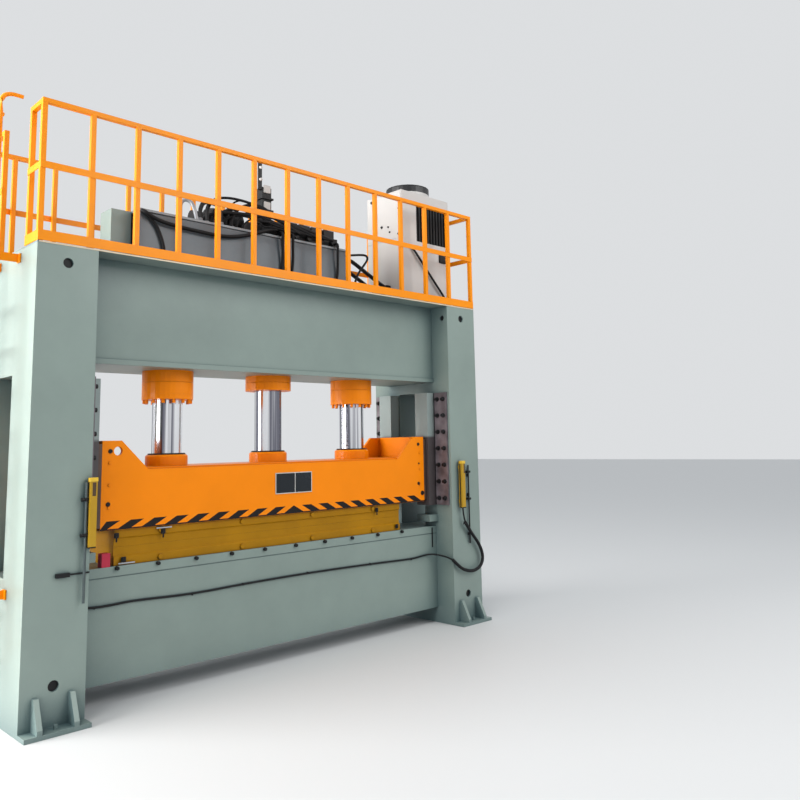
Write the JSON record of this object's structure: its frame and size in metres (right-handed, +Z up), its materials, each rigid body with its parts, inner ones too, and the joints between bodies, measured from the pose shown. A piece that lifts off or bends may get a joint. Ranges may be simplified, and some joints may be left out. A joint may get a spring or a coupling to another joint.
{
  "type": "hydraulic press",
  "caption": "Wide straight-sided hydraulic press with a cylinder-driven slide, closed tools, a railed service deck with oil tank and chiller, and a side ladder.",
  "frame": {"origin": "on the floor of the foot pit, under the middle of the whole machine's box", "axes": "+X along the bed to the right, -Y towards the front with the light guards, +Z up"},
  "size_m": [4.85, 1.49, 4.6632],
  "materials": {
    "black_paint": "satin",
    "black_rubber": "satin",
    "frame_paint": "satin",
    "guide_steel": "satin",
    "orange_paint": "gloss",
    "railing_paint": "gloss",
    "red_paint": "satin",
    "rod_chrome": "polished",
    "tank_paint": "satin",
    "tool_paint": "satin",
    "wear_bronze": "satin",
    "white_paint": "satin",
    "yellow_paint": "gloss"
  },
  "bodies": {
    "frame": {"bed": "frame_paint", "chiller_cabinet": "white_paint", "chiller_pipe_1": "black_rubber", "chiller_pipe_2": "black_rubber", "column_left": "frame_paint", "column_right": "frame_paint", "condenser_grille": "black_paint", "crosshead": "frame_paint", "cylinder_barrel_1": "orange_paint", "cylinder_barrel_2": "orange_paint", "cylinder_barrel_3": "orange_paint", "deck_plate": "frame_paint", "end_block": "red_paint", "fan_guard": "black_paint", "fan_shroud": "white_paint", "filter_box": "frame_paint", "gland_ring_1": "orange_paint", "gland_ring_2": "orange_paint", "gland_ring_3": "orange_paint", "grease_fitting": "black_paint", "guide_rail_left_front": "guide_steel", "guide_rail_left_rear": "guide_steel", "guide_rail_right_front": "guide_steel", "guide_rail_right_rear": "guide_steel", "ladder": "railing_paint", "light_guard_left": "yellow_paint", "light_guard_right": "yellow_paint", "lower_tool": "tool_paint", "oil_tank": "tank_paint", "pressure_hose_1": "black_rubber", "pressure_hose_2": "black_rubber", "pressure_hose_3": "black_rubber", "pump_motor_1": "black_paint", "pump_motor_2": "black_paint", "railing_front": "railing_paint", "railing_left_front": "railing_paint", "railing_left_rear": "railing_paint", "railing_rear": "railing_paint", "railing_right": "railing_paint", "sensor_cable": "black_rubber", "sensor_rod": "black_paint", "stop_block_left": "frame_paint", "stop_block_right": "frame_paint", "tank_lid": "tank_paint", "valve_manifold": "black_paint", "valve_stack": "black_paint"},
    "slide": {"blank_plates": "black_paint", "piston_rod_1": "rod_chrome", "piston_rod_2": "rod_chrome", "piston_rod_3": "rod_chrome", "rod_flange_1": "orange_paint", "rod_flange_2": "orange_paint", "rod_flange_3": "orange_paint", "slide_beam": "orange_paint", "upper_tool": "tool_paint", "wear_plate_left_front": "wear_bronze", "wear_plate_left_rear": "wear_bronze", "wear_plate_right_front": "wear_bronze", "wear_plate_right_rear": "wear_bronze"},
    "fan": {"chiller_fan": "black_paint"}
  },
  "joints": [
    {"name": "slide_travel", "type": "slide", "parent": "frame", "child": "slide", "axis": [0, 0, 1], "range_m": [0, 0.38]},
    {"name": "fan_spin", "type": "hinge", "parent": "frame", "child": "fan", "pos_m": [1.9225, -0.135, 4.5426], "axis": [0, 0, 1], "continuous": true}
  ]
}
